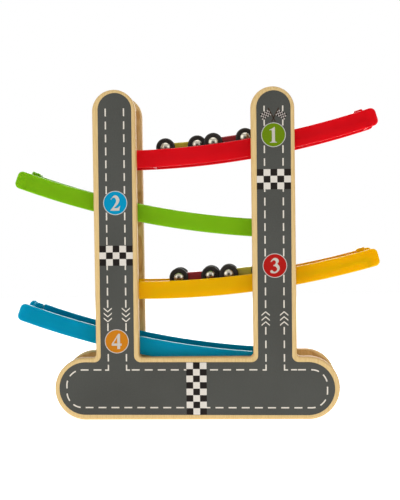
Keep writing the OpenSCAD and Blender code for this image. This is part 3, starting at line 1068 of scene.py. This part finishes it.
for colour, (place, tilt_deg, low_side) in RAMPS.items():
    moulding = ramp_moulding(colour != "blue")
    tilt = math.radians(tilt_deg)
    centre = (-RAMP_R * math.sin(tilt), 0, LOWEST_LEVEL + place * RAMP_PITCH + RAMP_R * math.cos(tilt))
    turn = Matrix.Rotation(-tilt, 4, "Y")
    flip = Matrix.Scale(-1 if low_side == "right" else 1, 4, (1, 0, 0))
    bmesh.ops.transform(moulding, matrix=flip @ Matrix.Translation(centre) @ turn, verts=moulding.verts)
    make_piece(
        f"{colour}_ramp_moulding", moulding, RAMP_PLASTICS[colour], "track",
        f"{colour}_ramp",
    )

# %% [markdown]
# The base beam and its dowels
#
# Between the panels lies a planed beam, and four dowels pass through it into both panels. Of the beam one
# sees the top and the ends from above and behind. A cube with eased edges is all that a planed beam is. The
# dowels' ends are hidden in the wood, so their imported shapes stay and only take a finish.

# %% Beam and dowels
BEAM_EASE_R = 0.8
BEAM_EASE_SEGMENTS = 3
BEECH_GRAIN_MM = (26, 1.1, 1.1)
BEECH_FLECK_MM = (2.6, 0.5, 0.5)
BEECH_FLECK_SHARE = 0.35
BEECH_RELIEF_MM = 0.06


def planed_beech(name, light, dark):
    """Planed beech: warm, with long grain along the beam and short dark flecks."""
    material, tree, place = start_material(name)
    # The long streaks read as grain, and the short flecks tell beech from other pale woods
    long = add(tree, "Mapping", {"Vector": place, "Scale": [1 / size for size in BEECH_GRAIN_MM]})
    grain = add(tree, "TexNoise", {"Vector": long, "Scale": 1.0, "Detail": 3.0})
    short = add(tree, "Mapping", {"Vector": place, "Scale": [1 / size for size in BEECH_FLECK_MM]})
    flecks = add(tree, "TexNoise", {"Vector": short, "Scale": 1.0, "Detail": 1.0})
    amount = add(tree, "MixRGB", {"Fac": BEECH_FLECK_SHARE, "Color1": grain, "Color2": flecks})
    colour = add(tree, "ValToRGB", {"Fac": amount}, stops=[(0.35, dark), (0.62, light)])
    gloss = add(tree, "MapRange", {"Value": grain, "To Min": 0.5, "To Max": 0.65})
    relief = add(tree, "Bump", {"Height": grain, "Strength": 0.2, "Distance": BEECH_RELIEF_MM * MM})
    close_material(tree, {"Base Color": colour, "Roughness": gloss, "IOR": 1.5, "Normal": relief})
    return material


def refinish(node, material):
    """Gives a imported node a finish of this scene."""
    materials = frame["nodes"][node].data.materials
    materials.clear()
    materials.append(material)
    print(node, "is", material.name)


beam_low, beam_high = node_box("base_beam")
beam = bmesh.new()
bmesh.ops.create_cube(beam, size=1, matrix=Matrix.Diagonal((*(beam_high - beam_low), 1)))
bmesh.ops.translate(beam, verts=beam.verts, vec=(beam_low + beam_high) / 2)
round_edges(beam, beam.edges[:], BEAM_EASE_R, segments=BEAM_EASE_SEGMENTS)
beam_beech = planed_beech("planed_beech", "#d3b173", "#b98f52")
make_piece("planed_base_beam", beam, beam_beech, "track", "base_beam")
refinish("base_dowels", planed_beech("beech_dowel", "#cfa968", "#b3874c"))

# %% [markdown]
# The cars
#
# A car is a painted wooden bar with rounded edges, on two steel axles. It has no top or bottom, because it
# turns over at each drop. The wheels are black plastic with rounded shoulders and a groove round the side,
# and bright domed caps hold them on. Wheel and cap are turned shapes: half a section is drawn with the pen
# and spun a full turn about the axle. Each pair of wheels rides on its own axle's body, so that it turns.

# %% Finishes of the cars
PAINT_GRAIN_MM = (9, 1.2, 1.2)
PAINT_RELIEF_MM = 0.05
SCUFF_MM = 1.2
CAP_MARK_MM = (1.5, 1.5, 1.5)
WIRE_MARK_MM = (0.3, 4.0, 0.3)


def car_paint(name, light, dark):
    """Sprayed gloss paint on wood: a deep colour over a faint grain that still shows in the gloss."""
    material, tree, place = start_material(name)
    # The grain under the paint bends its reflections, which tells painted wood from plastic
    long = add(tree, "Mapping", {"Vector": place, "Scale": [1 / size for size in PAINT_GRAIN_MM]})
    grain = add(tree, "TexNoise", {"Vector": long, "Scale": 1.0, "Detail": 3.0})
    colour = add(tree, "ValToRGB", {"Fac": grain}, stops=[(0.35, dark), (0.65, light)])
    gloss = add(tree, "MapRange", {"Value": grain, "To Min": 0.2, "To Max": 0.32})
    relief = add(tree, "Bump", {"Height": grain, "Strength": 0.12, "Distance": PAINT_RELIEF_MM * MM})
    close_material(tree, {"Base Color": colour, "Roughness": gloss, "IOR": 1.5, "Normal": relief})
    return material


def black_wheel_plastic():
    """Black moulded polypropylene: not quite black, with a soft skin that scuffs grey."""
    material, tree, place = start_material("satin_black_polypropylene")
    # Fine scuffs lift the black here and there, as on a wheel that has run
    scuffs = add(tree, "TexNoise", {"Vector": place, "Scale": 1 / SCUFF_MM, "Detail": 4.0})
    colour = add(tree, "ValToRGB", {"Fac": scuffs}, stops=[(0.4, "#231e1a"), (0.75, "#302a25")])
    gloss = add(tree, "MapRange", {"Value": scuffs, "To Min": 0.5, "To Max": 0.62})
    close_material(tree, {"Base Color": colour, "Roughness": gloss, "Specular IOR Level": 0.3})
    return material


def bright_metal(name, light, dark, low_rough, high_rough, mark_mm):
    """Bare or plated metal: a mirror that is slightly broken by fine marks."""
    material, tree, place = start_material(name)
    # The marks spread the reflection, so that the metal shows soft patches and not a sharp picture
    fine = add(tree, "Mapping", {"Vector": place, "Scale": [1 / size for size in mark_mm]})
    marks = add(tree, "TexNoise", {"Vector": fine, "Scale": 1.0, "Detail": 4.0})
    colour = add(tree, "ValToRGB", {"Fac": marks}, stops=[(0.3, dark), (0.7, light)])
    gloss = add(tree, "MapRange", {"Value": marks, "To Min": low_rough, "To Max": high_rough})
    close_material(tree, {"Base Color": colour, "Roughness": gloss, "Metallic": 1.0})
    return material


lime_paint = car_paint("gloss_lime_paint", "#cdbe22", "#bdaf1c")
red_paint = car_paint("gloss_red_paint", "#b02028", "#9c1a20")
wheel_plastic = black_wheel_plastic()
cap_chrome = bright_metal("polished_chrome_plate", "#bdb7a8", "#aaa394", 0.24, 0.32, CAP_MARK_MM)
axle_steel = bright_metal("drawn_steel", "#b9b6b1", "#9a9792", 0.25, 0.4, WIRE_MARK_MM)
CARS = {
    "top_lime_car": (lime_paint, "lime_paint"), "top_red_car": (red_paint, "red_paint"),
    "third_red_car": (red_paint, "red_paint"), "third_lime_car": (lime_paint, "lime_paint"),
}
print("cars:", list(CARS))

# %% Car body
BODY_L = 36
BODY_T = 7.4
BODY_EDGE_R = 1.2


def car_bar(width):
    """The body of a car about its middle: a bar with round ends and eased edges."""
    bm = bmesh.new()
    end_r = BODY_T / 2
    end_x = BODY_L / 2 - end_r
    pen = bm.verts.new((-end_x, -width / 2, -end_r))
    pen = line_to(bm, pen, end_x, -end_r)
    pen = arc_about(bm, pen, end_x, 0, 180, END_STEP_DEG)
    pen = line_to(bm, pen, -end_x, end_r)
    arc_about(bm, pen, -end_x, 0, 180, END_STEP_DEG)
    fill_outline(bm)
    thicken(bm, width)
    round_edges(bm, rim_edges(bm), BODY_EDGE_R)
    return bm


print("a car's body, mm:", BODY_L, "by", BODY_T)

# %% Wheels and caps
WHEEL_R = 7.7
WHEEL_W = 4.6
SHOULDER_R = 1.3
SHOULDER_STEP_DEG = 15
BORE_R = 1.01
CAP_R = 4.0
CAP_H = 1.9
CAP_BORE = 1.1
TRACK_HALF = 10.5
TURN_STEPS = 56
# Steps of a wheel's outer face, from its shoulder to its bore, as a radius and a depth
SIDE_STEPS = [(5.9, 0), (5.75, 0.35), (5.4, 0.35), (5.25, 0), (4.45, 0), (4.3, 0.45), (BORE_R, 0.45)]


def turned(bm):
    """Spins a half section, drawn with x as the radius and z along the axle, to a full turn."""
    bmesh.ops.spin(
        bm, geom=bm.verts[:] + bm.edges[:], cent=(0, 0, 0), axis=(0, 0, 1),
        angle=math.tau, steps=TURN_STEPS, use_merge=True,
    )
    bmesh.ops.remove_doubles(bm, verts=bm.verts[:], dist=MERGE_MM)
    bmesh.ops.recalc_face_normals(bm, faces=bm.faces[:])
    return bm


def wheel():
    """A wheel with its inner face at z = 0: rounded shoulders, a groove round the side and a dished hub."""
    bm = bmesh.new()
    pen = bm.verts.new((BORE_R, 0, 0))
    pen = line_to(bm, pen, WHEEL_R - SHOULDER_R, 0)
    pen = arc_about(bm, pen, WHEEL_R - SHOULDER_R, SHOULDER_R, 90, SHOULDER_STEP_DEG)
    pen = line_to(bm, pen, WHEEL_R, WHEEL_W - SHOULDER_R)
    pen = arc_about(bm, pen, WHEEL_R - SHOULDER_R, WHEEL_W - SHOULDER_R, 90, SHOULDER_STEP_DEG)
    for radius, sunk in SIDE_STEPS:
        pen = line_to(bm, pen, radius, WHEEL_W - sunk)
    line_to(bm, pen, BORE_R, 0)
    bmesh.ops.remove_doubles(bm, verts=bm.verts[:], dist=MERGE_MM)
    return turned(bm)


def hub_cap():
    """A domed cap with its rim at z = 0 and a blind hole for the axle's end."""
    bm = bmesh.new()
    dome_r = (CAP_R ** 2 + CAP_H ** 2) / (2 * CAP_H)
    dome_deg = math.degrees(math.asin(CAP_R / dome_r))
    pen = bm.verts.new((0, 0, CAP_H))
    pen = arc_about(bm, pen, 0, CAP_H - dome_r, -dome_deg)
    pen = line_to(bm, pen, BORE_R, 0)
    pen = line_to(bm, pen, BORE_R, CAP_BORE)
    line_to(bm, pen, 0, CAP_BORE)
    return turned(bm)


def both_sides(shape, axle, rim_y):
    """Two of a turned shape on an axle, one on each side, facing outwards."""
    bm = bmesh.new()
    for side in (-1, 1):
        copy = shape.copy()
        place = Matrix.Translation((axle.x, axle.y + side * rim_y, axle.z))
        face_out = Matrix.Rotation(math.radians(-90 * side), 4, "X")
        bmesh.ops.transform(copy, matrix=place @ face_out, verts=copy.verts)
        take_in(bm, copy)
    shape.free()
    return bm


sample_wheel = wheel()
print("a wheel has", len(sample_wheel.faces), "faces")
sample_wheel.free()

# %% Cars on their ramps
joint_places = {joint["name"]: Vector(joint["pos_m"]) / MM for joint in frame["joints"]}
for car, (paint, paint_slot) in CARS.items():
    axles = {end: joint_places[f"{car}_{end}_wheels_spin"] for end in ("front", "rear")}
    body_low, body_high = node_box(f"{car}_body")
    body_bar = car_bar(body_high.y - body_low.y)
    base = axles["rear"] - axles["front"]
    lean = Matrix.Rotation(-math.atan2(base.z, base.x), 4, "Y")
    middle = (axles["front"] + axles["rear"]) / 2
    bmesh.ops.transform(body_bar, matrix=Matrix.Translation(middle) @ lean, verts=body_bar.verts)
    make_piece(f"{car}_painted_bar", body_bar, paint, car, f"{car}_body")
    for end, axle in axles.items():
        wheelset = f"{car}_{end}_wheelset"
        make_piece(
            f"{car}_{end}_tyres", both_sides(wheel(), axle, TRACK_HALF - WHEEL_W), wheel_plastic,
            wheelset, f"{car}_{end}_wheels",
        )
        make_piece(
            f"{car}_{end}_domes", both_sides(hub_cap(), axle, TRACK_HALF), cap_chrome,
            wheelset, f"{car}_{end}_hub_caps",
        )
        refinish(f"{car}_{end}_axle", axle_steel)
